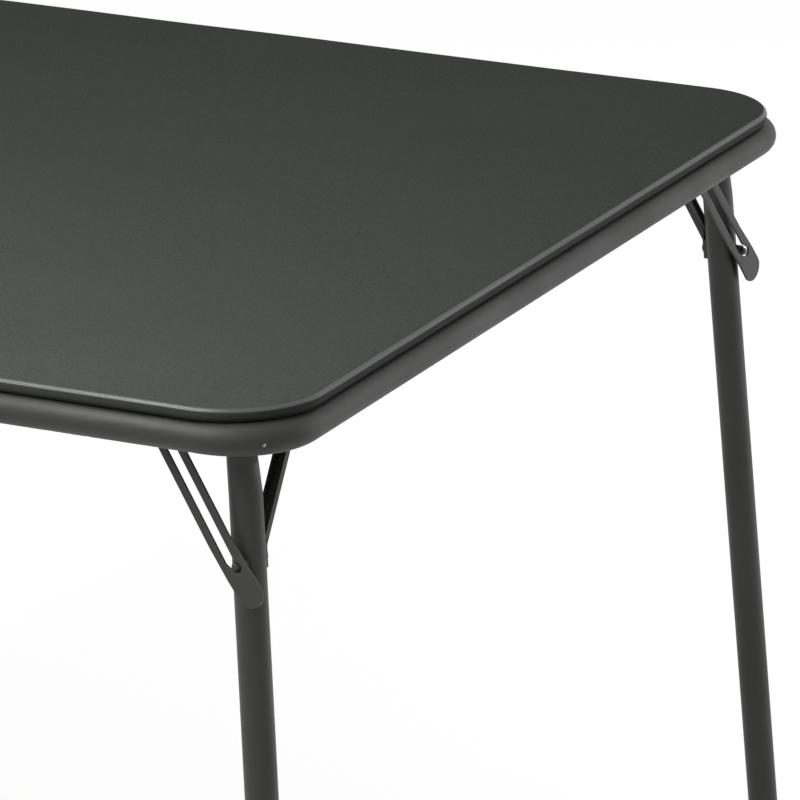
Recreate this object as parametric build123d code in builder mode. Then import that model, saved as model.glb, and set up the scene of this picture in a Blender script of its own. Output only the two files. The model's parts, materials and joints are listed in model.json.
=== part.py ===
from build123d import *
import os
from math import asin, atan, atan2, cos, degrees, hypot, radians, sin, sqrt, tan

# Folding card table, 34 inches square and 28 inches high, in millimetres.
# The origin is on the floor under the middle of the top, +Z is up, the front rail lies on -Y.
# Every corner is the front right corner turned in quarters, so the four legs fold like a pinwheel.

# Whole table
table_width = 864.0
table_height = 711.0
overrun = 5.0

# Frame: one round tube bent to a square ring, its two ends joined over a sleeve at the back
tube_diameter = 22.2
tube_wall = 1.2
frame_corner_radius = 60.0
tube_joint_gap = 0.4
sleeve_length = 70.0
sleeve_wall = 1.5
sleeve_clearance = 0.1

# Top: hardboard and a thin foam pad in a vinyl cover that is turned under at the edge
panel_thickness = 10.5
panel_inset = 4.0
panel_corner_radius = 66.0
cover_thickness = 0.8
cover_turn_in = 28.0
edge_flat = 0.3
board_thickness = 3.2
board_edge_gap = 3.0
layer_gap = 0.3

# Screws from inside the frame tube into the board, two to a rail
screw_diameter = 4.0
screw_hole_gap = 0.25
screw_head_diameter = 8.5
screw_head_height = 2.4
screw_thread_gap = 0.05
screw_access_gap = 0.8
screw_bite = 2.6
screw_place_share = 0.5

# Legs: round tube, leaning outward, hinged so that each folds a little inward of its rail
leg_diameter = 22.2
leg_wall = 1.2
leg_plug_length = 60.0
leg_inset_side = 51.4
leg_inset_front = 49.1
hinge_drop = 5.0
lean_side = 4.53
lean_front = 3.38
fold_skew = 10.0
shoulder_start = 43.0
shoulder_end = 14.0
shoulder_reach = 7.7
crown_radius = 10.5

# Foot caps
cap_wall = 2.0
cap_height = 34.0
cap_floor = 5.0
cap_clearance = 0.1
cap_edge_round = 1.5

# Hinge brackets, bent from sheet and welded to the inner side of the tube
sheet_thickness = 2.0
web_gap = 0.4
weld_reach = 5.2
ear_clearance = 0.6
ear_radius = 8.5
front_ear_drop = 6.5
rear_ear_drop = 4.0

# Stop: the front ear's outboard end, curled round the leg
stop_play = 0.6
stop_depth = 19.0
stop_top = 5.5
stop_start = 4.0
stop_short = 2.5

# Rivets
pin_diameter = 6.0
pin_clearance = 0.08
pin_head_diameter = 11.0
pin_head_height = 1.6
brace_pin_head_diameter = 9.0
head_round = 0.7
running_gap = 0.3

# Lock straps: slotted steel strip, pivoted beside the leg's hinge, sliding on a stud of the leg
strap_width = 19.0
strap_thickness = 1.6
strap_offset = 18.0
strap_pivot_distance = 54.8
slot_width = 7.6
slot_top = 16.0
slot_short = 5.4
notch_drop = 1.4
notch_shift = 3.2
stud_distance = 86.4
stud_outboard = 2.3
stud_side = 2.0
stud_diameter = 5.6
stud_collar_diameter = 8.4
stud_neck = 1.2
tab_length = 29.6
tab_start = 5.0
tab_bend = 2.0
tab_bend_radius = 12.0
tab_shift = 2.2
tab_flare = 0.5
flare_length = 20.0
bush_diameter = 10.0

# Side braces: light steel channel from the leg to a second pivot on the hinge's line
brace_reach = 50.0
brace_width = 10.4
brace_thickness = 2.0
brace_angle = 27.9
brace_flange_depth = 3.2
brace_flange_thickness = 1.4
brace_tab_rise = 7.0
brace_tab_drop = 6.9
brace_foot_length = 15.0
brace_bend_radius = 5.0
brace_rivet_diameter = 5.0
brace_rivet_head_diameter = 9.0
brace_rivet_head_height = 1.8
brace_ear_radius = 10.0

# Shared heights and half sizes
tube_radius = tube_diameter / 2
leg_radius = leg_diameter / 2
pin_radius = pin_diameter / 2
half_width = table_width / 2
rail_centre = half_width - tube_radius
panel_bottom = table_height - panel_thickness
tube_height = panel_bottom - tube_radius
web_top = panel_bottom - web_gap
web_bottom = web_top - sheet_thickness

# The leg's direction and its hinge. The hinge pin is square to the leg, so the leg folds flat.
lean_x = tan(radians(lean_side))
lean_y = tan(radians(lean_front))
skew = radians(fold_skew)
pin_tilt = atan(lean_x * sin(skew) - lean_y * cos(skew))
leg_down = Vector(lean_x, -lean_y, -1).normalized()
outboard = Vector(cos(skew), -sin(skew), 0)
pin_line = Vector(sin(skew) * cos(pin_tilt), cos(skew) * cos(pin_tilt), sin(pin_tilt))
leg_top = Vector(half_width - leg_inset_side, leg_inset_front - half_width, tube_height)
hinge_point = leg_top - leg_down * (hinge_drop / leg_down.Z)

# In the hinge frame X points outboard, Y runs along the pin towards the brace, and Z is up.
# In the leg frame Y is the same and Z runs up the leg.
hinge_frame = Plane(origin=hinge_point, x_dir=outboard, z_dir=outboard.cross(pin_line))
leg_frame = Plane(origin=hinge_point, x_dir=leg_down.cross(pin_line), z_dir=leg_down * -1)
leg_angle = asin(leg_down.dot(outboard))
leg_length = (hinge_point.Z - cap_floor) / -leg_down.Z

# Where the plates stand along the pin, measured from the leg's centre
ear_near = leg_radius + ear_clearance
ear_far = ear_near + sheet_thickness
strap_inner = strap_offset - strap_thickness / 2
strap_outer = strap_offset + strap_thickness / 2
brace_ear_near = brace_reach + brace_thickness / 2 + running_gap
brace_ear_far = brace_ear_near + sheet_thickness

# The open strap runs from its pivot to the stud, and past it to the thumb tab
stud_x = stud_distance * sin(leg_angle) + stud_outboard * cos(leg_angle)
stud_z = stud_outboard * sin(leg_angle) - stud_distance * cos(leg_angle)
strap_run = hypot(stud_x + strap_pivot_distance, stud_z)
strap_turn = atan2(stud_z, stud_x + strap_pivot_distance) - asin(stud_side / strap_run)
strap_along = hinge_frame.x_dir * cos(strap_turn) + hinge_frame.z_dir * sin(strap_turn)
strap_pivot = hinge_point - outboard * strap_pivot_distance
strap_frame = Plane(origin=strap_pivot, x_dir=strap_along, z_dir=pin_line * -1)

CORNERS = {"front_right": 0, "back_right": 90, "back_left": 180, "front_left": 270}

os.makedirs("parts", exist_ok=True)


def keep(part, name):
    """Label a finished piece and write it."""
    part.label = name
    export_step(part, f"parts/{name}.step")


def keep_at_corners(part, name):
    """Write the piece once for each corner, turned about the middle of the table."""
    for corner, quarter in CORNERS.items():
        with BuildPart() as turned:
            with Locations(Rotation(0, 0, quarter)):
                add(part)
        keep(turned.part, f"{name}_{corner}")


def on_plan(out, along):
    """Point on the plan, so far outboard of the hinge and so far along its pin."""
    point = hinge_point + outboard * out + pin_line * along
    return (point.X, point.Y)


# Frame tube
with BuildLine() as frame_path:
    FilletPolyline(
        (tube_joint_gap / 2, rail_centre),
        (rail_centre, rail_centre),
        (rail_centre, -rail_centre),
        (-rail_centre, -rail_centre),
        (-rail_centre, rail_centre),
        (-tube_joint_gap / 2, rail_centre),
        radius=frame_corner_radius - tube_radius,
    )
frame_wire = frame_path.wire().moved(Location((0, 0, tube_height)))
tube_mouth = Plane(frame_wire @ 0, z_dir=frame_wire % 0)

with BuildPart() as tube_envelope:
    with BuildSketch(tube_mouth):
        Circle(tube_radius)
    sweep(path=frame_wire)

screw_spots = [
    (rail_centre * first, rail_centre * second)
    for side in (-1, 1)
    for place in (-screw_place_share, screw_place_share)
    for first, second in ((place, side), (side, place))
]
screw_seat = tube_height + sqrt((tube_radius - tube_wall) ** 2 - (screw_head_diameter / 2) ** 2)

with BuildPart() as frame_tube:
    with BuildSketch(tube_mouth):
        Circle(tube_radius)
        Circle(tube_radius - tube_wall, mode=Mode.SUBTRACT)
    sweep(path=frame_wire)
    with BuildSketch(Plane.XY.offset(tube_height)):
        with Locations(*screw_spots):
            Circle(screw_diameter / 2 + screw_hole_gap)
    extrude(amount=tube_radius + overrun, mode=Mode.SUBTRACT)
    with BuildSketch(Plane.XY.offset(tube_height)):
        with Locations(*screw_spots):
            Circle(screw_head_diameter / 2 + screw_access_gap)
    extrude(amount=-tube_radius - overrun, mode=Mode.SUBTRACT)
keep(frame_tube.part, "frame_tube")

# Sleeve inside the joint of the tube
with BuildPart() as frame_sleeve:
    with BuildSketch(Plane.YZ.offset(-sleeve_length / 2)):
        with Locations((rail_centre, tube_height)):
            Circle(tube_radius - tube_wall - sleeve_clearance)
            Circle(tube_radius - tube_wall - sleeve_clearance - sleeve_wall, mode=Mode.SUBTRACT)
    extrude(amount=sleeve_length)
keep(frame_sleeve.part, "frame_joint_sleeve")

# Vinyl cover: a thin skin over the pad, round at the edge and turned under the board
cover_size = table_width - panel_inset * 2
window_size = cover_size - cover_turn_in * 2
cover_edge_radius = (panel_thickness - edge_flat) / 2
with BuildPart() as cover_inside:
    with BuildSketch(Plane.XY.offset(panel_bottom + cover_thickness)):
        RectangleRounded(
            cover_size - cover_thickness * 2,
            cover_size - cover_thickness * 2,
            panel_corner_radius - cover_thickness,
        )
    extrude(amount=panel_thickness - cover_thickness * 2)
    inside_rims = faces().filter_by(Axis.Z).edges()
    fillet(inside_rims, radius=cover_edge_radius - cover_thickness)

with BuildPart() as vinyl_cover:
    with BuildSketch(Plane.XY.offset(panel_bottom)):
        RectangleRounded(cover_size, cover_size, panel_corner_radius)
    extrude(amount=panel_thickness)
    outside_rims = faces().filter_by(Axis.Z).edges()
    fillet(outside_rims, radius=cover_edge_radius)
    add(cover_inside.part, mode=Mode.SUBTRACT)
    with BuildSketch(Plane.XY.offset(panel_bottom - overrun)):
        RectangleRounded(window_size, window_size, panel_corner_radius - cover_turn_in)
        with Locations(*screw_spots):
            Circle(screw_diameter / 2 + screw_hole_gap)
    extrude(amount=overrun + cover_thickness * 2, mode=Mode.SUBTRACT)
keep(vinyl_cover.part, "vinyl_cover")

# Hardboard
board_bottom = panel_bottom + cover_thickness + layer_gap
board_inset = panel_inset + cover_thickness + board_edge_gap
with BuildPart() as top_board:
    with BuildSketch(Plane.XY.offset(board_bottom)):
        RectangleRounded(
            table_width - board_inset * 2,
            table_width - board_inset * 2,
            panel_corner_radius - cover_thickness - board_edge_gap,
        )
    extrude(amount=board_thickness)
    with BuildSketch(Plane.XY.offset(board_bottom - overrun)):
        with Locations(*screw_spots):
            Circle(screw_diameter / 2 + screw_thread_gap)
    extrude(amount=overrun + screw_bite + layer_gap, mode=Mode.SUBTRACT)
keep(top_board.part, "top_board")

# Foam pad between the board and the cover
foam_bottom = board_bottom + board_thickness + layer_gap
foam_thickness = table_height - cover_thickness - layer_gap - foam_bottom
foam_inset = panel_inset + cover_thickness + layer_gap
with BuildPart() as foam_pad:
    with BuildSketch(Plane.XY.offset(foam_bottom)):
        RectangleRounded(
            table_width - foam_inset * 2,
            table_width - foam_inset * 2,
            panel_corner_radius - cover_thickness - layer_gap,
        )
    extrude(amount=foam_thickness)
    foam_rim = faces().sort_by(Axis.Z)[-1].edges()
    fillet(foam_rim, radius=cover_edge_radius - cover_thickness - layer_gap)
keep(foam_pad.part, "foam_pad")

# Frame screws: their heads sit inside the tube, reached through its underside, points in the board
with BuildPart() as frame_screws:
    with BuildSketch(Plane.XY.offset(screw_seat)):
        with Locations(*screw_spots):
            Circle(screw_head_diameter / 2)
    extrude(amount=-screw_head_height)
    head_rims = faces().filter_by(Axis.Z).group_by(Axis.Z)[0].edges()
    fillet(head_rims, radius=head_round)
    with BuildSketch(Plane.XY.offset(screw_seat)):
        with Locations(*screw_spots):
            Circle(screw_diameter / 2)
    extrude(amount=board_bottom + screw_bite - screw_seat)
keep(frame_screws.part, "frame_screws")

# Leg: the tube's upper end is plugged, pressed slim on its outboard side and round about the pin
shoulder_middle = (shoulder_reach - leg_radius) / 2
shoulder_half = (shoulder_reach + leg_radius) / 2
with BuildPart() as leg_tube:
    with BuildSketch(leg_frame * Plane.XY.offset(-leg_length)):
        Circle(leg_radius)
    extrude(amount=leg_length - shoulder_start)
    with BuildSketch(leg_frame * Plane.XY.offset(-leg_length)):
        Circle(leg_radius - leg_wall)
    extrude(amount=leg_length - leg_plug_length, mode=Mode.SUBTRACT)
    with BuildSketch(leg_frame * Plane.XY.offset(-shoulder_start)):
        Circle(leg_radius)
    with BuildSketch(leg_frame * Plane.XY.offset(-shoulder_end)):
        with Locations((shoulder_middle, 0)):
            Ellipse(shoulder_half, leg_radius)
    loft()
    with BuildSketch(leg_frame * Plane.XY.offset(-shoulder_end)):
        with Locations((shoulder_middle, 0)):
            Ellipse(shoulder_half, leg_radius)
    extrude(amount=shoulder_end + leg_radius)
    with BuildSketch(leg_frame * Plane.XZ):
        Circle(crown_radius)
        with Locations((0, -shoulder_end)):
            Rectangle(leg_diameter * 2, leg_length * 2, align=(Align.CENTER, Align.MAX))
        make_hull()
    extrude(amount=leg_radius + overrun, both=True, mode=Mode.INTERSECT)
    with BuildSketch(leg_frame * Plane.XZ):
        Circle(pin_radius + pin_clearance)
    extrude(amount=leg_radius + overrun, both=True, mode=Mode.SUBTRACT)
    with BuildSketch(leg_frame * Plane.XZ):
        with Locations((stud_outboard, -stud_distance)):
            Circle(stud_diameter / 2)
    extrude(amount=leg_radius + overrun, mode=Mode.SUBTRACT)

with BuildPart() as leg_envelope:
    with BuildSketch(leg_frame * Plane.XY.offset(-leg_length)):
        Circle(leg_radius)
    extrude(amount=leg_length)

# Side brace: a tab on the hinge's line, a slanted channel, and a foot pressed to the leg's round
foot_middle = leg_radius + brace_thickness / 2
brace_slope = tan(radians(brace_angle))
brace_fall = (brace_reach - foot_middle) / brace_slope
foot_start = -brace_tab_drop - brace_fall
foot_end = foot_start - brace_foot_length
inward_y = -cos(radians(brace_angle))
inward_z = sin(radians(brace_angle))
flange_inset = brace_bend_radius
flange_top = (
    brace_reach - flange_inset * sin(radians(brace_angle)),
    -brace_tab_drop - flange_inset * cos(radians(brace_angle)),
)
flange_low = (
    foot_middle + brace_flange_depth * sin(radians(brace_angle)),
    foot_start + brace_flange_depth * cos(radians(brace_angle)),
)
brace_side = brace_width / 2
rivet_place = -foot_start + brace_foot_length / 2
with BuildPart() as side_brace:
    with BuildSketch(leg_frame * Plane.YZ.offset(-brace_side)):
        with BuildLine():
            FilletPolyline(
                (brace_reach, brace_tab_rise),
                (brace_reach, -brace_tab_drop),
                (foot_middle, foot_start),
                (foot_middle, foot_end),
                radius=brace_bend_radius,
            )
        trace(line_width=brace_thickness)
    extrude(amount=brace_width)
    for side_start in (-brace_side, brace_side - brace_flange_thickness):
        with BuildSketch(leg_frame * Plane.YZ.offset(side_start)):
            with BuildLine():
                Polyline(
                    flange_top,
                    (
                        flange_top[0] + brace_flange_depth * inward_y,
                        flange_top[1] + brace_flange_depth * inward_z,
                    ),
                    (
                        flange_low[0] + brace_flange_depth * inward_y,
                        flange_low[1] + brace_flange_depth * inward_z,
                    ),
                    flange_low,
                    close=True,
                )
            make_face()
        extrude(amount=brace_flange_thickness)
    with BuildSketch(leg_frame * Plane.XY.offset(foot_end)):
        with Locations((0, leg_radius)):
            Rectangle(brace_width, brace_thickness)
    extrude(amount=brace_foot_length)
    add(leg_envelope.part, mode=Mode.SUBTRACT)
    with BuildSketch(leg_frame * Plane.XZ.offset(-brace_reach - overrun)):
        Circle(pin_radius + pin_clearance)
    extrude(amount=overrun * 2, mode=Mode.SUBTRACT)
    with BuildSketch(leg_frame * Plane.XZ.offset(-leg_radius - overrun)):
        with Locations((0, -rivet_place)):
            Circle(brace_rivet_diameter / 2)
    extrude(amount=leg_radius + overrun, mode=Mode.SUBTRACT)
keep_at_corners(side_brace.part, "side_brace")

# Rivet of the brace's foot, and its hole in the leg
brace_rivet_inner = leg_radius - leg_wall - brace_rivet_head_height
brace_rivet_seat = leg_radius + brace_thickness
with BuildPart() as brace_rivet:
    with BuildSketch(leg_frame * Plane.XZ.offset(-brace_rivet_inner)):
        with Locations((0, -rivet_place)):
            Circle(brace_rivet_diameter / 2)
    extrude(amount=brace_rivet_inner - brace_rivet_seat)
    with BuildSketch(leg_frame * Plane.XZ.offset(-brace_rivet_seat)):
        with Locations((0, -rivet_place)):
            Circle(brace_rivet_head_diameter / 2)
    extrude(amount=-brace_rivet_head_height)
    rivet_rim = faces().sort_by(Axis(hinge_point, pin_line))[-1].edges()
    fillet(rivet_rim, radius=head_round)
keep_at_corners(brace_rivet.part, "brace_rivet")

with BuildPart() as leg_with_rivet_hole:
    add(leg_tube.part)
    with BuildSketch(leg_frame * Plane.XZ):
        with Locations((0, -rivet_place)):
            Circle(brace_rivet_diameter / 2)
    extrude(amount=-leg_radius - overrun, mode=Mode.SUBTRACT)
keep_at_corners(leg_with_rivet_hole.part, "leg_tube")

# Foot cap, cut flat where it stands
with BuildPart() as foot_cap:
    with BuildSketch(leg_frame * Plane.XY.offset(-leg_length - cap_floor * 2)):
        Circle(leg_radius + cap_clearance + cap_wall)
    extrude(amount=cap_height + cap_floor)
    cap_rim = faces().sort_by(Axis.Z)[-1].edges()
    fillet(cap_rim, radius=cap_edge_round)
    with BuildSketch(leg_frame * Plane.XY.offset(-leg_length)):
        Circle(leg_radius + cap_clearance)
    extrude(amount=cap_height + overrun, mode=Mode.SUBTRACT)
    split(bisect_by=Plane.XY, keep=Keep.TOP)
keep_at_corners(foot_cap.part, "foot_cap")

# Lock stud, riveted in the leg with a collar that keeps the strap clear of it
stud_inner = leg_radius - leg_wall * 2
stud_top = strap_inner - running_gap
stud_collar_top = stud_top - stud_neck
with BuildPart() as lock_stud:
    with BuildSketch(leg_frame * Plane.XZ.offset(stud_inner)):
        with Locations((stud_outboard, -stud_distance)):
            Circle(stud_collar_diameter / 2)
    extrude(amount=stud_collar_top - stud_inner)
    add(leg_envelope.part, mode=Mode.SUBTRACT)
    with BuildSketch(leg_frame * Plane.XZ.offset(stud_inner)):
        with Locations((stud_outboard, -stud_distance)):
            Circle(stud_diameter / 2)
    extrude(amount=stud_top - stud_inner)
keep_at_corners(lock_stud.part, "lock_stud")

# Lock strap: the outline is cut through a strip whose thumb tab is bent towards the leg
strap_radius = strap_width / 2
slot_radius = slot_width / 2
slot_bottom = strap_run - slot_short
tab_tip = strap_run + tab_length
tab_radius = strap_radius + tab_flare
with BuildPart() as lock_strap:
    with BuildSketch(strap_frame * Plane.XZ):
        with BuildLine():
            FilletPolyline(
                (-strap_width, strap_offset),
                (strap_run + tab_start, strap_offset),
                (tab_tip + overrun, strap_offset - tab_bend),
                radius=tab_bend_radius,
            )
        trace(line_width=strap_thickness)
    extrude(amount=strap_width, both=True)
    with BuildSketch(strap_frame):
        with Locations((0, 0), (strap_run - flare_length, 0)):
            strip_ends = Circle(strap_radius)
        make_hull(strip_ends.edges())
        with Locations((strap_run - flare_length, 0)):
            flare_start = Circle(strap_radius)
        with Locations((tab_tip - tab_radius, tab_shift)):
            flare_end = Circle(tab_radius)
        make_hull(flare_start.edges() + flare_end.edges())
    extrude(amount=strap_outer + overrun, mode=Mode.INTERSECT)
    with BuildSketch(strap_frame):
        with Locations((slot_top + slot_radius, 0), (slot_bottom, 0)):
            slot_ends = Circle(slot_radius)
        make_hull(slot_ends.edges())
        with Locations((slot_bottom, 0), (strap_run + notch_drop, notch_shift)):
            notch_ends = Circle(slot_radius)
        make_hull(notch_ends.edges())
        Circle(pin_radius + pin_clearance)
    extrude(amount=strap_outer + overrun, mode=Mode.SUBTRACT)
keep_at_corners(lock_strap.part, "lock_strap")

# Leg bracket: two ears for the leg's pin, the front one drawn out to the strap's pivot, under a web
ear_top = web_top - hinge_point.Z + sheet_thickness
web_outer = rail_centre - weld_reach
bracket_end = strap_pivot_distance + strap_radius
rear_corner = on_plan(ear_radius, ear_far)
web_points = [
    (on_plan(-bracket_end, -ear_far)[0], -web_outer),
    (on_plan(ear_radius, -ear_far)[0], -web_outer),
    rear_corner,
    on_plan(-ear_radius * 2, ear_far),
    on_plan(-bracket_end, -ear_near),
]
with BuildPart() as leg_bracket:
    with BuildSketch(hinge_frame * Plane.XZ.offset(ear_near)):
        with Locations((-strap_pivot_distance, 0), (0, -front_ear_drop)):
            Circle(ear_radius)
        with Locations((-strap_pivot_distance / 2, ear_top / 2)):
            Rectangle(strap_pivot_distance + ear_radius * 2, ear_top)
        make_hull()
    extrude(amount=sheet_thickness)
    with BuildSketch(hinge_frame * Plane.XY.offset(-stop_depth)):
        Circle(ear_far + stop_play)
        Circle(ear_near + stop_play, mode=Mode.SUBTRACT)
        with Locations((stop_start, -stop_short)):
            Rectangle(ear_far * 2, ear_far * 2, align=(Align.MIN, Align.MAX), mode=Mode.INTERSECT)
    extrude(amount=stop_depth - stop_top)
    with BuildSketch(hinge_frame * Plane.XZ.offset(-ear_near)):
        with Locations((0, -rear_ear_drop)):
            Circle(ear_radius)
        with Locations((0, ear_top / 2)):
            Rectangle(ear_radius * 2, ear_top)
        make_hull()
    extrude(amount=-sheet_thickness)
    with BuildSketch(Plane.XY.offset(web_top)):
        Rectangle(table_width, table_width)
    extrude(amount=panel_thickness, mode=Mode.SUBTRACT)
    with BuildSketch(Plane.XY.offset(web_bottom)):
        with BuildLine():
            Polyline(*web_points, close=True)
        make_face()
    extrude(amount=sheet_thickness)
    add(tube_envelope.part, mode=Mode.SUBTRACT)
    with BuildSketch(hinge_frame * Plane.XZ):
        Circle(pin_radius)
    extrude(amount=ear_far + overrun, both=True, mode=Mode.SUBTRACT)
    with BuildSketch(hinge_frame * Plane.XZ):
        with Locations((-strap_pivot_distance, 0)):
            Circle(pin_radius)
    extrude(amount=ear_far + overrun, mode=Mode.SUBTRACT)
keep_at_corners(leg_bracket.part, "leg_bracket")

# Brace bracket: one ear under a short web that reaches the side rail
brace_web_points = [
    (web_outer, on_plan(0, brace_ear_far)[1]),
    on_plan(-brace_ear_radius, brace_ear_far),
    on_plan(-brace_ear_radius, brace_ear_far - brace_ear_radius * 2),
    (web_outer, on_plan(0, brace_ear_far - brace_ear_radius * 2)[1]),
]
with BuildPart() as brace_bracket:
    with BuildSketch(hinge_frame * Plane.XZ.offset(-brace_ear_near)):
        Circle(brace_ear_radius)
        with Locations((0, ear_top / 2)):
            Rectangle(brace_ear_radius * 2, ear_top + sheet_thickness * 2)
        make_hull()
    extrude(amount=-sheet_thickness)
    with BuildSketch(Plane.XY.offset(web_top)):
        Rectangle(table_width, table_width)
    extrude(amount=panel_thickness, mode=Mode.SUBTRACT)
    with BuildSketch(Plane.XY.offset(web_bottom)):
        with BuildLine():
            Polyline(*brace_web_points, close=True)
        make_face()
    extrude(amount=sheet_thickness)
    add(tube_envelope.part, mode=Mode.SUBTRACT)
    with BuildSketch(hinge_frame * Plane.XZ.offset(-brace_ear_far - overrun)):
        Circle(pin_radius)
    extrude(amount=brace_ear_far - brace_ear_near + overrun * 2, mode=Mode.SUBTRACT)
keep_at_corners(brace_bracket.part, "brace_bracket")


def hinge_rivet(start, end, head_diameter):
    """Rivet on the hinge's line, its shank from start to end, with a round head at each end."""
    with BuildPart() as made:
        for seat, head_height in ((start, -pin_head_height), (end, pin_head_height)):
            with BuildSketch(hinge_frame * Plane.XZ.offset(seat)):
                Circle(head_diameter / 2)
            extrude(amount=head_height)
        ends = faces().filter_by(GeomType.PLANE).sort_by(Axis(hinge_point, pin_line))
        fillet(ends[0].edges() + ends[-1].edges(), radius=head_round)
        with BuildSketch(hinge_frame * Plane.XZ.offset(start)):
            Circle(pin_radius)
        extrude(amount=end - start)
    return made.part


# Leg pin, across both ears of the leg bracket
leg_pin = hinge_rivet(-ear_far, ear_far, pin_head_diameter)
keep_at_corners(leg_pin, "leg_pin")

# Brace pin, through the brace's tab and the ear beside it
brace_tab_near = brace_reach - brace_thickness / 2 - running_gap
brace_pin = hinge_rivet(-brace_ear_far, -brace_tab_near, brace_pin_head_diameter)
keep_at_corners(brace_pin, "brace_pin")

# Strap rivet: a bush between bracket and strap, a head outside, its tail flush in the bracket
with BuildPart() as strap_rivet:
    with BuildSketch(hinge_frame * Plane.XZ.offset(ear_near)):
        with Locations((-strap_pivot_distance, 0)):
            Circle(pin_radius)
    extrude(amount=strap_outer + running_gap - ear_near)
    with BuildSketch(hinge_frame * Plane.XZ.offset(ear_far)):
        with Locations((-strap_pivot_distance, 0)):
            Circle(bush_diameter / 2)
    extrude(amount=strap_inner - running_gap - ear_far)
    with BuildSketch(hinge_frame * Plane.XZ.offset(strap_outer + running_gap)):
        with Locations((-strap_pivot_distance, 0)):
            Circle(pin_head_diameter / 2)
    extrude(amount=pin_head_height)
    strap_rivet_face = faces().filter_by(GeomType.PLANE).sort_by(Axis(hinge_point, pin_line))[0]
    fillet(strap_rivet_face.edges(), radius=head_round)
keep_at_corners(strap_rivet.part, "strap_rivet")

fold_travel = 90 + degrees(leg_angle)
strap_travel = 180 + degrees(strap_turn)
print("hinge point", hinge_point, "pin line", pin_line, "outboard", outboard)
print("strap pivot", strap_pivot, "run", strap_run)
print("leg travel", fold_travel, "strap travel", strap_travel, "ratio", strap_travel / fold_travel)
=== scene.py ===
import json
import random
from math import atan2, ceil, cos, exp, pi, radians, sin, sqrt

import bmesh
import bpy
from mathutils import Matrix, Vector


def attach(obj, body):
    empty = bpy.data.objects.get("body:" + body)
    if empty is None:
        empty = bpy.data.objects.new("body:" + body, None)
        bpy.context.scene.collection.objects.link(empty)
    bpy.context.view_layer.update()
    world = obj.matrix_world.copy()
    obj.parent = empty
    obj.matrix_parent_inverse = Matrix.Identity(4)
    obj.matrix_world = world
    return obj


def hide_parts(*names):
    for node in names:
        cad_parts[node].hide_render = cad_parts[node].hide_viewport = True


# Folding card table: a padded vinyl top on a ring of painted steel tube, with four splayed tube legs that
# fold under it. Metres, the floor is at z = 0, the front rail is on -Y.
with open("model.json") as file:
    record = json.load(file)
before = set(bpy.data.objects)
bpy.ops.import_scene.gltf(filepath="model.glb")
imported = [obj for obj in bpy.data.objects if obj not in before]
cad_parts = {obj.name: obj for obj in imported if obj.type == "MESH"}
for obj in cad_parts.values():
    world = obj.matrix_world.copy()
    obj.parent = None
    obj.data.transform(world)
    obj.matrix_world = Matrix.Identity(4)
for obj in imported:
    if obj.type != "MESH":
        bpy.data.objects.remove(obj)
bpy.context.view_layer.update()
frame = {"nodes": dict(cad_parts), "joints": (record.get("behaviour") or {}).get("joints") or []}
nodes = frame["nodes"]
CORNERS = {"front_right": 0, "back_right": 90, "back_left": 180, "front_left": 270}


# Painted steel
# The frame tube, legs, straps, braces and brackets are mild steel, welded and riveted together and dipped in
# one coat of dark satin enamel, which pulls thin over sheared edges and dries with a faint orange peel. The
# edges are coloured lighter, partly for the thin paint and partly as a painted highlight.
ENAMEL = (0.022, 0.0225, 0.02, 1.0)
ENAMEL_SPECULAR = 0.42
STEEL_SHOWING = (0.16, 0.15, 0.135, 1.0)
# A painted glint on the frame tube near the front right corner: its colour, place, size and ragged outline.
PAINTED_GLINT_COLOUR = (0.72, 0.72, 0.7, 1.0)
PAINTED_GLINT_PLACE = (0.4132, -0.4154, 0.6877)
PAINTED_GLINT_SIZE = 0.0011
PAINTED_GLINT_RAGGED = 3.2
PAINTED_GLINT_OUTER = 2.75
PAINTED_GLINT_INNER = 2.45


def start_group(name, inputs, outputs):
    """Empty effect group with named value inputs and outputs."""
    group = bpy.data.node_groups.new(name, "ShaderNodeTree")
    for label, kind, value in inputs:
        socket = group.interface.new_socket(label, in_out="INPUT", socket_type=kind)
        socket.default_value = value
    for label, kind in outputs:
        group.interface.new_socket(label, in_out="OUTPUT", socket_type=kind)
    return group, group.nodes.new("NodeGroupInput"), group.nodes.new("NodeGroupOutput")


def node(tree, kind, settings=None, **links):
    """New node of a tree. Links are values, or sockets to join to the input of that name or number."""
    made = tree.nodes.new("ShaderNode" + kind)
    for key, value in (settings or {}).items():
        setattr(made, key, value)
    for key, value in links.items():
        target = made.inputs[int(key[1:])] if key[0] == "_" else made.inputs[key.replace("_", " ")]
        if isinstance(value, bpy.types.NodeSocket):
            tree.links.new(value, target)
        else:
            target.default_value = value
    return made


def remap(tree, value, low, high, to_low, to_high):
    """Value carried from one range to another and held inside it."""
    made = node(tree, "MapRange", Value=value, From_Min=low, From_Max=high, To_Min=to_low, To_Max=to_high)
    return made.outputs["Result"]


def shade(tree, colour, factor):
    """Colour made darker or lighter by a factor that varies over the surface."""
    made = node(tree, "VectorMath", {"operation": "SCALE"}, _0=colour[:3], _3=factor)
    return made.outputs["Vector"]


def mix(tree, mask, first, second):
    """First colour where the mask is 0, second where it is 1."""
    made = node(tree, "Mix", {"data_type": "RGBA"}, _0=mask, _6=first, _7=second)
    return made.outputs[2]


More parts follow.
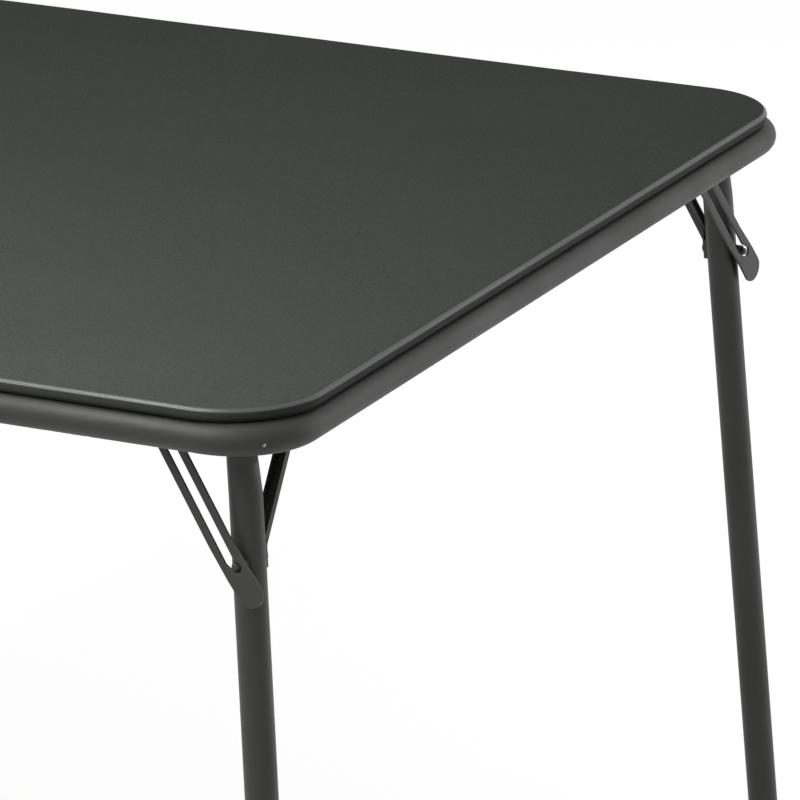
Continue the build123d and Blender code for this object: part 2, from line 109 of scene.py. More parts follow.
def mottle_group():
    """Soft cloudy variation and fine grit, both about 1, for anything that isn't evenly coloured."""
    group, given, out = start_group(
        "mottle",
        [("Cloud Scale", "NodeSocketFloat", 8.0), ("Cloud Amount", "NodeSocketFloat", 0.1),
         ("Grit Scale", "NodeSocketFloat", 900.0), ("Grit Amount", "NodeSocketFloat", 0.1)],
        [("Shade", "NodeSocketFloat"), ("Cloud", "NodeSocketFloat"), ("Grit", "NodeSocketFloat")],
    )
    place = node(group, "TexCoord").outputs["Object"]
    cloud = node(group, "TexNoise", Vector=place, Scale=given.outputs["Cloud Scale"], Detail=3.0)
    grit = node(group, "TexNoise", Vector=place, Scale=given.outputs["Grit Scale"], Detail=1.0)
    cloud_part = node(group, "Math", {"operation": "MULTIPLY_ADD"}, _0=cloud.outputs[0],
                      _1=given.outputs["Cloud Amount"], _2=1.0)
    grit_part = node(group, "Math", {"operation": "MULTIPLY_ADD"}, _0=grit.outputs[0],
                     _1=given.outputs["Grit Amount"], _2=cloud_part.outputs[0])
    middle = node(group, "Math", {"operation": "ADD"}, _0=given.outputs["Cloud Amount"],
                  _1=given.outputs["Grit Amount"])
    half = node(group, "Math", {"operation": "MULTIPLY"}, _0=middle.outputs[0], _1=0.5)
    level = node(group, "Math", {"operation": "SUBTRACT"}, _0=grit_part.outputs[0], _1=half.outputs[0])
    group.links.new(level.outputs[0], out.inputs["Shade"])
    group.links.new(cloud.outputs[0], out.inputs["Cloud"])
    group.links.new(grit.outputs[0], out.inputs["Grit"])
    return group


def edge_group():
    """Rounded normal, an edge mask for thin paint and painted highlight, and its broken, worn part."""
    group, given, out = start_group(
        "soft_edges",
        [("Radius", "NodeSocketFloat", 0.0005), ("Wear", "NodeSocketFloat", 0.5)],
        [("Normal", "NodeSocketVector"), ("Edge", "NodeSocketFloat"), ("Worn", "NodeSocketFloat")],
    )
    rounded = node(group, "Bevel", {"samples": 4}, Radius=given.outputs["Radius"])
    true = node(group, "NewGeometry")
    facing = node(group, "VectorMath", {"operation": "DOT_PRODUCT"}, _0=rounded.outputs[0],
                  _1=true.outputs["Normal"])
    bent = remap(group, facing.outputs["Value"], 0.99, 0.8, 0.0, 1.0)
    place = node(group, "TexCoord").outputs["Object"]
    patches = node(group, "TexNoise", Vector=place, Scale=120.0, Detail=4.0)
    broken = remap(group, patches.outputs[0], 0.5, 0.68, 0.0, 1.0)
    worn = node(group, "Math", {"operation": "MULTIPLY"}, _0=bent, _1=broken)
    amount = node(group, "Math", {"operation": "MULTIPLY"}, _0=worn.outputs[0], _1=given.outputs["Wear"])
    group.links.new(rounded.outputs[0], out.inputs["Normal"])
    group.links.new(bent, out.inputs["Edge"])
    group.links.new(amount.outputs[0], out.inputs["Worn"])
    return group


MOTTLE = mottle_group()
SOFT_EDGES = edge_group()


def start_material(name, roughness, specular, metallic=0.0):
    """Material with a Principled shader whose even values are set on its own sockets."""
    material = bpy.data.materials.new(name)
    material.use_nodes = True
    shader = material.node_tree.nodes["Principled BSDF"]
    shader.inputs["Roughness"].default_value = roughness
    shader.inputs["Specular IOR Level"].default_value = specular
    shader.inputs["Metallic"].default_value = metallic
    return material, material.node_tree, shader


def place_group(tree, group, **values):
    """Effect group put in a material with its own values."""
    made = tree.nodes.new("ShaderNodeGroup")
    made.node_tree = group
    for key, value in values.items():
        made.inputs[key.replace("_", " ")].default_value = value
    return made


def painted_glint_mask(tree, place, centre):
    """Mask of one small ragged painted glint, shaped like a nick."""
    away = node(tree, "VectorMath", {"operation": "DISTANCE"}, _0=place, _1=centre)
    ragged = node(tree, "TexNoise", Vector=place, Scale=900.0, Detail=2.0)
    rim = node(tree, "Math", {"operation": "MULTIPLY_ADD"}, _0=ragged.outputs[0], _1=PAINTED_GLINT_SIZE * PAINTED_GLINT_RAGGED,
               _2=away.outputs["Value"])
    return remap(tree, rim.outputs[0], PAINTED_GLINT_SIZE * PAINTED_GLINT_OUTER, PAINTED_GLINT_SIZE * PAINTED_GLINT_INNER, 0.0, 1.0)


def enamel(name, roughness, edge_radius, wear, peel, thin_paint_and_highlight=2.4, painted_glint=None):
    """Satin enamel, cloudy and peeled; steel in spots; edges thin, with a painted highlight."""
    material, tree, shader = start_material(name, roughness, ENAMEL_SPECULAR)
    place = node(tree, "TexCoord").outputs["Object"]
    mottle = place_group(tree, MOTTLE, Cloud_Scale=14.0, Cloud_Amount=0.22, Grit_Scale=1500.0,
                         Grit_Amount=0.16)
    edges = place_group(tree, SOFT_EDGES, Radius=edge_radius, Wear=wear)
    coat = shade(tree, ENAMEL, mottle.outputs["Shade"])
    # Thin paint and painted highlight: the colour along the edges is made lighter by a factor.
    thin_and_highlit = mix(tree, edges.outputs["Edge"], coat, tuple(c * thin_paint_and_highlight for c in ENAMEL[:3]) + (1.0,))
    surface = mix(tree, edges.outputs["Worn"], thin_and_highlit, STEEL_SHOWING)
    # Painted glint: one small ragged spot of light colour, where the tube catches the light.
    if painted_glint:
        surface = mix(tree, painted_glint_mask(tree, place, painted_glint), surface, PAINTED_GLINT_COLOUR)
    tree.links.new(surface, shader.inputs["Base Color"])
    rough = remap(tree, mottle.outputs["Cloud"], 0.3, 0.7, roughness - 0.05, roughness + 0.06)
    tree.links.new(rough, shader.inputs["Roughness"])
    skin = node(tree, "TexNoise", Vector=place, Scale=420.0, Detail=2.0)
    bump = node(tree, "Bump", Strength=peel, Distance=0.0004, Height=skin.outputs[0],
                Normal=edges.outputs["Normal"])
    tree.links.new(bump.outputs[0], shader.inputs["Normal"])
    return material


frame_enamel = enamel("satin_enamel_frame", roughness=0.54, edge_radius=0.0004, wear=0.4, peel=0.1,
                      painted_glint=PAINTED_GLINT_PLACE)
tube_enamel = enamel("satin_enamel_tube", roughness=0.5, edge_radius=0.0004, wear=0.4, peel=0.1)
plate_enamel = enamel("satin_enamel_plate", roughness=0.46, edge_radius=0.0005, wear=0.7, peel=0.14)
# The straps' edges carry a strong painted highlight over the thin paint.
strap_enamel = enamel("satin_enamel_strap", roughness=0.46, edge_radius=0.0009, wear=0.7, peel=0.14,
                      thin_paint_and_highlight=4.6)


def finish_node(name, material):
    """Give a CAD piece its material."""
    mesh = nodes[name].data
    mesh.materials.clear()
    mesh.materials.append(material)


finish_node("frame_tube", frame_enamel)
for corner in CORNERS:
    finish_node("leg_tube_" + corner, tube_enamel)
    finish_node("lock_strap_" + corner, strap_enamel)
    for piece in ("leg_bracket_", "brace_bracket_", "side_brace_", "lock_stud_",
                  "leg_pin_", "brace_pin_", "strap_rivet_", "brace_rivet_"):
        finish_node(piece + corner, plate_enamel)


# Vinyl top
# One sheet of embossed upholstery vinyl over a thin foam pad. It is drawn round the board's edge, turned
# under by about an inch, gathered in small pleats at the corners and stapled to the board.
COVER_HALF = 0.428
COVER_CORNER = 0.066
TOP_Z = 0.711
UNDER_Z = 0.7005
SHEET = 0.0008
TOP_ROUND = 0.0036
UNDER_ROUND = 0.0051
EDGE_PULL = 0.0005
EDGE_PULL_REACH = 0.012
PAD_SWELL = 0.00022
HEM = 0.028
HEM_WANDER = 0.0009
HEM_WANDER_RATES = (0.9, 0.37)
HEM_STEPS = 5
UNDER_STEPS = 6
OVER_STEPS = 8
PLEAT_DEPTH = 0.0006
PLEATS = 11
PUCKER = 0.00018
SIDE_STEPS = 44
CORNER_STEPS = 34
RING_CORNER_LEAST = 0.026
TOP_INSETS = (0.005, 0.008, 0.012, 0.018, 0.026, 0.034, 0.04)
INNER_RINGS = 20
VINYL = (0.064, 0.0695, 0.0635, 1.0)
# Painted shade: the grain's creases are coloured darker.
CREASE_PAINTED_SHADE = 0.8
# Painted shade: the cover's sides, which face out rather than up, are coloured darker.
SIDE_PAINTED_SHADE = 0.6
GLOSS_ROUGHNESS = 0.33


def rounded_square(half, radius):
    """Points round a square with round corners, with their share of the way round a corner, or -1."""
    straight = half - radius
    points = []
    for quarter in range(4):
        turn = quarter * pi / 2
        for step in range(SIDE_STEPS):
            along = -straight + 2 * straight * step / SIDE_STEPS
            points.append((half * cos(turn) - along * sin(turn), half * sin(turn) + along * cos(turn), -1.0))
        for step in range(CORNER_STEPS):
            angle = turn + pi / 2 * step / CORNER_STEPS
            corner_x = straight * (cos(turn) - sin(turn))
            corner_y = straight * (sin(turn) + cos(turn))
            points.append((corner_x + radius * cos(angle), corner_y + radius * sin(angle),
                           step / CORNER_STEPS))
    return points


def swell(x, y):
    """Faint unevenness of the pad, a few long waves each way."""
    return PAD_SWELL * (sin(x * 21 + 0.7) * cos(y * 17 - 0.4) + 0.6 * sin(x * 9 - y * 13 + 1.9)
                        + 0.35 * cos(x * 37 + y * 29))


def quarter_turn(inset, height, radius, start, steps, sheet):
    """Inset and height of the points of one rounded edge, the sheet's thickness inside its outer face."""
    return [(inset + radius - (radius - sheet) * cos(radians(start + 90 * i / steps)),
             height + (radius - sheet) * sin(radians(start + 90 * i / steps))) for i in range(steps + 1)]


def cover_profile(sheet):
    """Inset and height from the hem's inner edge, round the board's edge and up to the flat top."""
    hem = [(HEM * (1 - i / HEM_STEPS), UNDER_Z + sheet) for i in range(HEM_STEPS - 1)]
    under = quarter_turn(0.0, UNDER_Z + UNDER_ROUND, UNDER_ROUND, -90, UNDER_STEPS, sheet)
    over = quarter_turn(0.0, TOP_Z - TOP_ROUND, TOP_ROUND, 0, OVER_STEPS, sheet)
    return hem + under + over


def cover_ring(rings, inset, height, lift, share):
    """Add a ring to the cover. Lift is how much of the pad's shape it takes, share how far under it lies."""
    radius = max(COVER_CORNER - inset, RING_CORNER_LEAST)
    ring = []
    for number, (x, y, corner) in enumerate(rounded_square(COVER_HALF - inset, radius)):
        z = height + lift * (swell(x, y) - EDGE_PULL * exp(-inset / EDGE_PULL_REACH))
        if corner >= 0:
            fold = 0.5 - 0.5 * cos(2 * pi * PLEATS * corner)
            z += share * PLEAT_DEPTH * fold * sin(pi * corner) ** 0.5
            pull = 1 - PUCKER * (1 - lift) * (1 - share) * fold * sin(pi * corner) / COVER_HALF
            x, y = x * pull, y * pull
        if share == 1.0:
            quick, slow = HEM_WANDER_RATES
            wander = 1 + HEM_WANDER * sin(number * quick) * cos(number * slow) / COVER_HALF
            x, y = x * wander, y * wander
        ring.append((x, y, z))
    rings.append(ring)


def share_under(inset, height):
    """How far under the board a ring lies, from 0 at its edge to 1 at the end of the hem."""
    if height > UNDER_Z + UNDER_ROUND / 2:
        return 0.0
    return min(1.0, max(0.0, (inset - UNDER_ROUND) / (HEM - UNDER_ROUND)))


def cover_face_rings(sheet):
    """Rings of one face of the sheet, from the hem's edge to the middle of the top."""
    rings = []
    for inset, height in cover_profile(sheet):
        on_top = 1.0 if height > TOP_Z - TOP_ROUND / 2 else 0.0
        cover_ring(rings, inset, height, on_top, share_under(inset, height))
    for inset in TOP_INSETS:
        cover_ring(rings, inset, TOP_Z - sheet, 1.0, 0.0)
    last = rounded_square(COVER_HALF - TOP_INSETS[-1], RING_CORNER_LEAST)
    for step in range(1, INNER_RINGS):
        scale = 1 - step / INNER_RINGS
        ring = [(x * scale, y * scale) for x, y, _ in last]
        rings.append([(x, y, TOP_Z - sheet + swell(x, y)) for x, y in ring])
    return rings


def ring_mesh(name, rings):
    """Closed mesh skinned over rings of equal count, with a face over each end."""
    count = len(rings[0])
    mesh = bpy.data.meshes.new(name)
    faces = []
    for low in range(len(rings) - 1):
        for i in range(count):
            j = (i + 1) % count
            faces.append((low * count + i, low * count + j, (low + 1) * count + j, (low + 1) * count + i))
    faces.append(tuple(reversed(range(count))))
    faces.append(tuple(range((len(rings) - 1) * count, len(rings) * count)))
    mesh.from_pydata([point for ring in rings for point in ring], [], faces)
    mesh.update()
    return mesh


def show(name, mesh, material, body):
    """Object of a new piece, finished, riding on its body."""
    mesh.materials.append(material)
    piece = bpy.data.objects.new(name, mesh)
    bpy.context.scene.collection.objects.link(piece)
    for face in mesh.polygons:
        face.use_smooth = True
    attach(piece, body)
    return piece


def grain_group():
    """Embossed leather grain: pebbles with creases between them, and finer pores."""
    group, given, out = start_group(
        "pebble_grain",
        [("Pebble Scale", "NodeSocketFloat", 700.0), ("Pore Scale", "NodeSocketFloat", 2600.0)],
        [("Height", "NodeSocketFloat"), ("Crease", "NodeSocketFloat")],
    )
    place = node(group, "TexCoord").outputs["Object"]
    wobble = node(group, "TexNoise", Vector=place, Scale=260.0, Detail=1.0)
    shift = node(group, "VectorMath", {"operation": "SCALE"}, _0=wobble.outputs[1], _3=0.0012)
    moved = node(group, "VectorMath", {"operation": "ADD"}, _0=place, _1=shift.outputs[0])
    pebble = node(group, "TexVoronoi", {"feature": "SMOOTH_F1"}, Vector=moved.outputs[0],
                  Scale=given.outputs["Pebble Scale"], Smoothness=0.35)
    pores = node(group, "TexNoise", Vector=place, Scale=given.outputs["Pore Scale"], Detail=1.0)
    crease = remap(group, pebble.outputs["Distance"], 0.35, 0.75, 0.0, 1.0)
    flat = node(group, "Math", {"operation": "SUBTRACT"}, _0=1.0, _1=crease)
    height = node(group, "Math", {"operation": "MULTIPLY_ADD"}, _0=pores.outputs[0], _1=0.25,
                  _2=flat.outputs[0])
    group.links.new(height.outputs[0], out.inputs["Height"])
    group.links.new(crease, out.inputs["Crease"])
    return group


GRAIN = grain_group()


def vinyl(name, colour, roughness):
    """Matt embossed vinyl with painted shade in creases and on sides, shiny where stretched over an edge."""
    material, tree, shader = start_material(name, roughness, 0.08)
    shader.inputs["Coat Roughness"].default_value = GLOSS_ROUGHNESS
    mottle = place_group(tree, MOTTLE, Cloud_Scale=7.0, Cloud_Amount=0.16, Grit_Scale=900.0, Grit_Amount=0.1)
    grain = place_group(tree, GRAIN, Pebble_Scale=720.0, Pore_Scale=2600.0)
    even = shade(tree, colour, mottle.outputs["Shade"])
    # Painted shade in the grain's creases.
    crease_shadow = shade(tree, tuple(c * CREASE_PAINTED_SHADE for c in colour), mottle.outputs["Shade"])
    upward = node(tree, "SeparateXYZ", Vector=node(tree, "NewGeometry").outputs["Normal"]).outputs["Z"]
    grain_and_shadow = mix(tree, grain.outputs["Crease"], even, crease_shadow)
    # Painted shade on the cover's sides.
    side_painted_shade = shade(tree, tuple(c * SIDE_PAINTED_SHADE for c in colour), mottle.outputs["Shade"])
    side = remap(tree, upward, 0.75, 0.25, 0.0, 1.0)
    tree.links.new(mix(tree, side, grain_and_shadow, side_painted_shade), shader.inputs["Base Color"])
    off_top = remap(tree, upward, 0.97, 0.86, 0.0, 1.0)
    above_side = remap(tree, upward, 0.0, 0.5, 0.1, 1.0)
    stretched = node(tree, "Math", {"operation": "MULTIPLY"}, _0=off_top, _1=above_side)
    tree.links.new(stretched.outputs[0], shader.inputs["Coat Weight"])
    dull = remap(tree, grain.outputs["Crease"], 0.0, 1.0, roughness - 0.04, roughness + 0.08)
    tree.links.new(dull, shader.inputs["Roughness"])
    bump = node(tree, "Bump", Strength=0.35, Distance=0.00012, Height=grain.outputs["Height"])
    tree.links.new(bump.outputs[0], shader.inputs["Normal"])
    return material


vinyl_material = vinyl("charcoal_vinyl", VINYL, roughness=0.88)
outer_rings = cover_face_rings(0.0)
inner_rings = cover_face_rings(SHEET)
cover_mesh = ring_mesh("vinyl_top", list(reversed(inner_rings)) + outer_rings)
vinyl_top = show("vinyl_top", cover_mesh, vinyl_material, "table")
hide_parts("vinyl_cover", "foam_pad")


# Staples of the hem
# Zinc-plated flat-wire staples that hold the cover's hem to the underside of the board. They are driven by
# hand, and so a little askew and unevenly spaced.
STAPLE_CROWN = 0.0105
STAPLE_WIDE = 0.0012
STAPLE_THICK = 0.0006
STAPLE_LEG = 0.0042
STAPLE_BEND = 0.0008
STAPLE_INSET = 0.0225
STAPLES_A_SIDE = 13
STAPLE_REACH = 0.345
STAPLE_ASKEW = 0.12
STAPLE_SLIP_ALONG = 0.004
STAPLE_SLIP_OUT = 0.0015
STAPLE_SEED = 41
ZINC = (0.42, 0.42, 0.4, 1.0)
BARE_STEEL = (0.35, 0.34, 0.33, 1.0)


def staple(bm, x, y, angle):
    """One staple under the hem: a flat crown, two bends and two legs that go up into the board."""
    half = STAPLE_CROWN / 2
    line = [(-half, STAPLE_LEG), (-half, STAPLE_BEND), (-half + STAPLE_BEND, 0.0),
            (half - STAPLE_BEND, 0.0), (half, STAPLE_BEND), (half, STAPLE_LEG)]
    rows = []
    for number, (along, up) in enumerate(line):
        before, after = line[max(number - 1, 0)], line[min(number + 1, len(line) - 1)]
        slope = atan2(after[1] - before[1], after[0] - before[0])
        row = []
        for side, out in ((-1, -1), (1, -1), (1, 1), (-1, 1)):
            at = along - out * sin(slope) * STAPLE_THICK / 2
            across = side * STAPLE_WIDE / 2
            high = UNDER_Z - STAPLE_THICK / 2 + up + out * cos(slope) * STAPLE_THICK / 2
            row.append(bm.verts.new((x + at * cos(angle) - across * sin(angle),
                                     y + at * sin(angle) + across * cos(angle), high)))
        rows.append(row)
    for first, second in zip(rows, rows[1:]):
        for i in range(4):
            bm.faces.new((first[i], first[(i + 1) % 4], second[(i + 1) % 4], second[i]))
    bm.faces.new(tuple(reversed(rows[0])))
    bm.faces.new(tuple(rows[-1]))


def staple_mesh():
    """All the staples of the hem, in one mesh."""
    hand = random.Random(STAPLE_SEED)
    bm = bmesh.new()
    row = COVER_HALF - STAPLE_INSET
    for quarter in range(4):
        turn = quarter * pi / 2
        for number in range(STAPLES_A_SIDE):
            along = STAPLE_REACH * (2 * number / (STAPLES_A_SIDE - 1) - 1)
            along += hand.uniform(-STAPLE_SLIP_ALONG, STAPLE_SLIP_ALONG)
            out = row + hand.uniform(-STAPLE_SLIP_OUT, STAPLE_SLIP_OUT)
            x = out * cos(turn) - along * sin(turn)
            y = out * sin(turn) + along * cos(turn)
            askew = hand.uniform(-STAPLE_ASKEW, STAPLE_ASKEW)
            staple(bm, x, y, turn + pi / 2 + askew)
    bmesh.ops.recalc_face_normals(bm, faces=bm.faces)
    mesh = bpy.data.meshes.new("hem_staples")
    bm.to_mesh(mesh)
    bm.free()
    return mesh


def bright_steel(name, colour, roughness, grit):
    """Bare or zinc-plated steel, dulled in patches and finely scratched."""
    material, tree, shader = start_material(name, roughness, 0.5, 1.0)
    mottle = place_group(tree, MOTTLE, Cloud_Scale=60.0, Cloud_Amount=0.35, Grit_Scale=1800.0,
                         Grit_Amount=grit)
    tree.links.new(shade(tree, colour, mottle.outputs["Shade"]), shader.inputs["Base Color"])
    rough = remap(tree, mottle.outputs["Cloud"], 0.3, 0.7, roughness - 0.1, roughness + 0.15)
    tree.links.new(rough, shader.inputs["Roughness"])
    bump = node(tree, "Bump", Strength=0.15, Distance=0.0002, Height=mottle.outputs["Grit"])
    tree.links.new(bump.outputs[0], shader.inputs["Normal"])
    return material


zinc_steel = bright_steel("zinc_plated_steel", ZINC, roughness=0.35, grit=0.2)
bare_steel = bright_steel("bare_tube_steel", BARE_STEEL, roughness=0.45, grit=0.3)
finish_node("frame_screws", zinc_steel)
finish_node("frame_joint_sleeve", bare_steel)
staples = show("hem_staples", staple_mesh(), zinc_steel, "table")
for face in staples.data.polygons:
    face.use_smooth = False


# Hardboard of the top
# One sheet of pressed wood fibre under the pad. Its rough face, which the press's wire screen has marked, is
# the one that shows from under the table.
FIBRE = (0.17, 0.1, 0.055, 1.0)
BARK = (0.06, 0.034, 0.02, 1.0)
SCREEN_SCALE = 160.0


def hardboard():
    """Brown pressed fibre with the print of the press's wire screen and darker flecks of bark."""
    material, tree, shader = start_material("hardboard", 0.72, 0.2)
    mottle = place_group(tree, MOTTLE, Cloud_Scale=5.0, Cloud_Amount=0.35, Grit_Scale=650.0, Grit_Amount=0.4)
    place = node(tree, "TexCoord").outputs["Object"]
    flecks = node(tree, "TexNoise", Vector=place, Scale=170.0, Detail=4.0, Roughness=0.7)
    bark = remap(tree, flecks.outputs[0], 0.58, 0.72, 0.0, 0.7)
    fibre = shade(tree, FIBRE, mottle.outputs["Shade"])
    tree.links.new(mix(tree, bark, fibre, BARK), shader.inputs["Base Color"])
    wires = {"Vector": place, "Scale": SCREEN_SCALE, "Distortion": 0.6}
    along = node(tree, "TexWave", {"bands_direction": "X"}, **wires)
    across = node(tree, "TexWave", {"bands_direction": "Y"}, **wires)
    screen = node(tree, "Math", {"operation": "MULTIPLY"}, _0=along.outputs[1], _1=across.outputs[1])
    height = node(tree, "Math", {"operation": "MULTIPLY_ADD"}, _0=mottle.outputs["Grit"], _1=0.5,
                  _2=screen.outputs[0])
    bump = node(tree, "Bump", Strength=0.6, Distance=0.0003, Height=height.outputs[0])
    tree.links.new(bump.outputs[0], shader.inputs["Normal"])
    return material


finish_node("top_board", hardboard())


# Weld beads
# The brackets' webs are stitch-welded to the inner side of the frame tube from below, before painting: short
# beads of overlapping ripples, rounded off where the arc was struck and broken.
WELD_RADIUS = 0.0017
WELD_RIPPLE = 0.0021
WELD_RIPPLE_DEPTH = 0.11
WELD_RIPPLE_LAG = 0.45
WELD_FACING = 225
WELD_WAVER = 0.06
WELD_WAVER_RATE = 900
WELD_END_LEAST = 0.08
WELD_STEP = 0.00035
WELD_SIDES = 14
WELD_Z = 0.6977
WELD_OUT = 0.4137
LEG_BRACKET_WELDS = ((0.3185, 0.3375), (0.3475, 0.37))
BRACE_BRACKET_WELD = (-0.3485, -0.3325)


def bead_rings(start, end, degrees):
    """Rings of a bead between two points of the seam, which is turned to its corner of the table."""
    turn = Matrix.Rotation(radians(degrees), 3, "Z")
    first, last = Vector((*start, WELD_Z)), Vector((*end, WELD_Z))
    length = (last - first).length
    along = (last - first) / length
    outward = along.cross(Vector((0, 0, 1)))
    steps = ceil(length / WELD_STEP)
    rings = []
    for step in range(steps + 1):
        place = length * step / steps
        near_end = min(1.0, min(place, length - place) / WELD_RADIUS)
        taper = max(WELD_END_LEAST, sqrt(1 - (1 - near_end) ** 2))
        ring = []
        for side in range(WELD_SIDES):
            angle = 2 * pi * side / WELD_SIDES
            lag = WELD_RIPPLE_LAG * cos(angle - radians(WELD_FACING))
            ripple = WELD_RIPPLE_DEPTH * abs(sin(pi * (place / WELD_RIPPLE + lag)))
            radius = WELD_RADIUS * taper * (1 + ripple + WELD_WAVER * sin(place * WELD_WAVER_RATE))
            around = outward * radius * cos(angle) + Vector((0, 0, radius * sin(angle)))
            ring.append(tuple(turn @ (first + along * place + around)))
        rings.append(ring)
    return rings


def joined(name, pieces):
    """One mesh out of several chains of rings."""
    bm = bmesh.new()
    for rings in pieces:
        part = ring_mesh(name, rings)
        bm.from_mesh(part)
        bpy.data.meshes.remove(part)
    bmesh.ops.recalc_face_normals(bm, faces=bm.faces)
    mesh = bpy.data.meshes.new(name)
    bm.to_mesh(mesh)
    bm.free()
    return mesh


beads = []
for degrees in CORNERS.values():
    beads += [bead_rings((low, -WELD_OUT), (high, -WELD_OUT), degrees) for low, high in LEG_BRACKET_WELDS]
    beads.append(bead_rings((WELD_OUT, BRACE_BRACKET_WELD[0]), (WELD_OUT, BRACE_BRACKET_WELD[1]), degrees))
show("bracket_welds", joined("bracket_welds", beads), plate_enamel, "table")


# Stud ends
# Each lock stud is riveted in its leg and ends in a turned tip that stands through the strap's slot, its
# paint rubbed off by the strap.
TIP_RADIUS = 0.0025
TIP_ROOT = 0.001
TIP_REACH = 0.0025
TIP_NOSE = 0.0008
TIP_SIDES = 28
PIN_LINES = {joint["child"]: Vector(joint["axis"]) for joint in frame["joints"]}


def tip_rings(corner):
    """Rings of a tip, from inside its stud to the rounded nose, on the middle of the stud's end face."""
    line = -PIN_LINES["leg_" + corner]
    points = [vertex.co for vertex in nodes["lock_stud_" + corner].data.vertices]
    reach = max(point.dot(line) for point in points)
    end = [point for point in points if reach - point.dot(line) < TIP_ROOT / 10]
    middle = Vector([(min(p[i] for p in end) + max(p[i] for p in end)) / 2 for i in range(3)])
    across = line.orthogonal().normalized()
    upright = line.cross(across)
    nose = [(TIP_REACH - TIP_NOSE * (1 - sin(a)), TIP_RADIUS - TIP_NOSE * (1 - cos(a)))
            for a in (0.0, pi / 8, pi / 4, 3 * pi / 8, pi / 2)]
    rings = []
    for out, radius in [(-TIP_ROOT, TIP_RADIUS), (0.0, TIP_RADIUS)] + nose:
        rings.append([tuple(middle + line * out + (across * cos(a) + upright * sin(a)) * radius)
                      for a in (2 * pi * side / TIP_SIDES for side in range(TIP_SIDES))])
    return rings


rubbed_enamel = enamel("rubbed_enamel_stud", roughness=0.42, edge_radius=0.0007, wear=1.0, peel=0.1)
for corner in CORNERS:
    tip_mesh = joined("stud_tip_" + corner, [tip_rings(corner)])
    show("stud_tip_" + corner, tip_mesh, rubbed_enamel, "leg_" + corner)


# Foot caps
# Moulded black plastic cups pushed on the ends of the legs and cut level with the floor, scuffed and dusty
# where they meet it.
CAP_PLASTIC = (0.022, 0.022, 0.023, 1.0)
CAP_DUST = (0.14, 0.13, 0.12, 1.0)
DUST_RISE = 0.02


def cap_plastic():
    """Black moulded plastic, paler with scuffs and dust towards the floor."""
    material, tree, shader = start_material("cap_plastic", 0.55, 0.4)
    mottle = place_group(tree, MOTTLE, Cloud_Scale=40.0, Cloud_Amount=0.2, Grit_Scale=1400.0,
                         Grit_Amount=0.25)
    edges = place_group(tree, SOFT_EDGES, Radius=0.0008)
    place = node(tree, "TexCoord").outputs["Object"]
    height = node(tree, "SeparateXYZ", Vector=place).outputs["Z"]
    scuffs = node(tree, "TexNoise", Vector=place, Scale=210.0, Detail=5.0, Roughness=0.65)
    low = remap(tree, height, 0.0, DUST_RISE, 0.75, 0.12)
    patchy = remap(tree, scuffs.outputs[0], 0.4, 0.7, 0.0, 1.0)
    dusty = node(tree, "Math", {"operation": "MULTIPLY"}, _0=low, _1=patchy)
    plastic = shade(tree, CAP_PLASTIC, mottle.outputs["Shade"])
    tree.links.new(mix(tree, dusty.outputs[0], plastic, CAP_DUST), shader.inputs["Base Color"])
    rough = remap(tree, dusty.outputs[0], 0.0, 1.0, 0.5, 0.8)
    tree.links.new(rough, shader.inputs["Roughness"])
    bump = node(tree, "Bump", Strength=0.2, Distance=0.0003, Height=scuffs.outputs[0],
                Normal=edges.outputs["Normal"])
    tree.links.new(bump.outputs[0], shader.inputs["Normal"])
    return material


cap_material = cap_plastic()
for corner in CORNERS:
    finish_node("foot_cap_" + corner, cap_material)


# Floor, daylight and camera
# A pale seamless studio floor under a plain white sky, two soft boxes, and the camera at the photograph's
# angle. Only what the camera and reflections see is lifted to white, so no more light falls on the table.
FLOOR_SIZE = 60.0
FLOOR_COLOUR = (0.8, 0.8, 0.8, 1.0)
FLOOR_LIFT = 0.8
WHITE = (1.0, 1.0, 1.0, 1.0)
SKY_LIGHT = 0.2
SKY_SEEN = 0.985
CAMERA_PLACE = (2.22079, -3.97814, 2.01094)
CAMERA_DIP = 17.934
CAMERA_TURN = 25.669
CAMERA_LENS = 298.24
CAMERA_SENSOR = 36.0
CAMERA_REACH = 200.0


def seen_rays(tree):
    """Mask that is 1 for what the camera sees, also by reflection or through glass."""
    path = node(tree, "LightPath")
    seen = node(tree, "Math", {"operation": "MAXIMUM"}, _0=path.outputs["Is Camera Ray"],
                _1=path.outputs["Is Glossy Ray"])
    seen = node(tree, "Math", {"operation": "MAXIMUM"}, _0=seen.outputs[0],
                _1=path.outputs["Is Transmission Ray"])
    return seen.outputs[0]


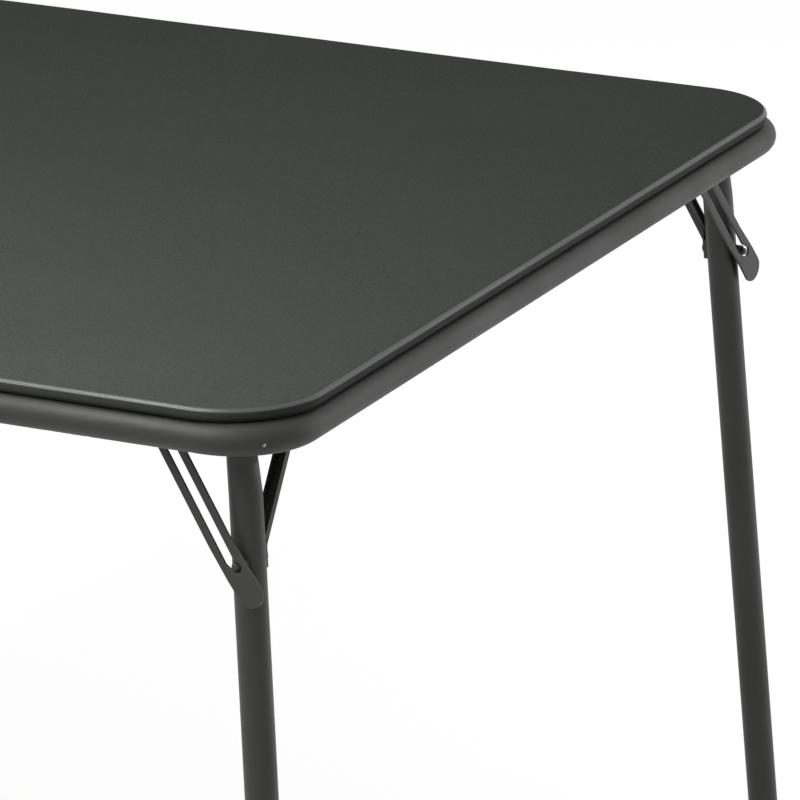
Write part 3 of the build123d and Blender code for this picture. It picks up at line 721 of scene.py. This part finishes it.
def pale_surface():
    """Pale matt floor that is seen near white, keeps the object's shadow and is clear from below."""
    material = bpy.data.materials.new("studio_floor")
    material.use_nodes = True
    tree = material.node_tree
    tree.nodes.clear()
    matt = node(tree, "BsdfDiffuse", Color=FLOOR_COLOUR)
    lift = node(tree, "Emission", Color=WHITE, Strength=FLOOR_LIFT)
    both = node(tree, "AddShader", _0=matt.outputs[0], _1=lift.outputs[0])
    choice = node(tree, "MixShader", _0=seen_rays(tree), _1=matt.outputs[0], _2=both.outputs[0])
    under = node(tree, "NewGeometry").outputs["Backfacing"]
    clear = node(tree, "BsdfTransparent")
    sided = node(tree, "MixShader", _0=under, _1=choice.outputs[0], _2=clear.outputs[0])
    node(tree, "OutputMaterial", Surface=sided.outputs[0])
    return material


floor_mesh = bpy.data.meshes.new("studio_floor")
half_floor = FLOOR_SIZE / 2
floor_corners = [(x * half_floor, y * half_floor, 0) for x, y in ((-1, -1), (1, -1), (1, 1), (-1, 1))]
floor_mesh.from_pydata(floor_corners, [], [(0, 1, 2, 3)])
floor_mesh.materials.append(pale_surface())
floor = bpy.data.objects.new("studio_floor", floor_mesh)
bpy.context.scene.collection.objects.link(floor)

world = bpy.data.worlds.new("white_sky")
bpy.context.scene.world = world
world.use_nodes = True
sky = world.node_tree
sky.nodes.clear()
level = remap(sky, seen_rays(sky), 0.0, 1.0, SKY_LIGHT, SKY_SEEN)
background = node(sky, "Background", Color=WHITE, Strength=level)
node(sky, "OutputWorld", Surface=background.outputs[0])


def soft_light(name, place, target, size, watts):
    """Square soft box at a place, turned to a target."""
    lamp = bpy.data.lights.new(name, "AREA")
    lamp.shape = "SQUARE"
    lamp.size = size
    lamp.energy = watts
    holder = bpy.data.objects.new(name, lamp)
    holder.location = place
    holder.rotation_euler = (Vector(target) - Vector(place)).to_track_quat("-Z", "Y").to_euler()
    holder.visible_camera = False
    bpy.context.scene.collection.objects.link(holder)


soft_light("key_box", place=(-0.04, -0.91, 1.46), target=(0.05, -0.3, 0.7), size=0.72, watts=14.6)
soft_light("side_box", place=(2.2, 1.9, 1.05), target=(0.3, 0.0, 0.6), size=2.0, watts=15.0)

lens = bpy.data.cameras.new("photo_camera")
lens.sensor_width = CAMERA_SENSOR
lens.lens = CAMERA_LENS
lens.clip_end = CAMERA_REACH
camera = bpy.data.objects.new("photo_camera", lens)
camera.location = CAMERA_PLACE
camera.rotation_euler = (radians(90.0 - CAMERA_DIP), 0.0, radians(CAMERA_TURN))
bpy.context.scene.collection.objects.link(camera)
bpy.context.scene.camera = camera
bpy.context.scene.view_settings.view_transform = "Standard"
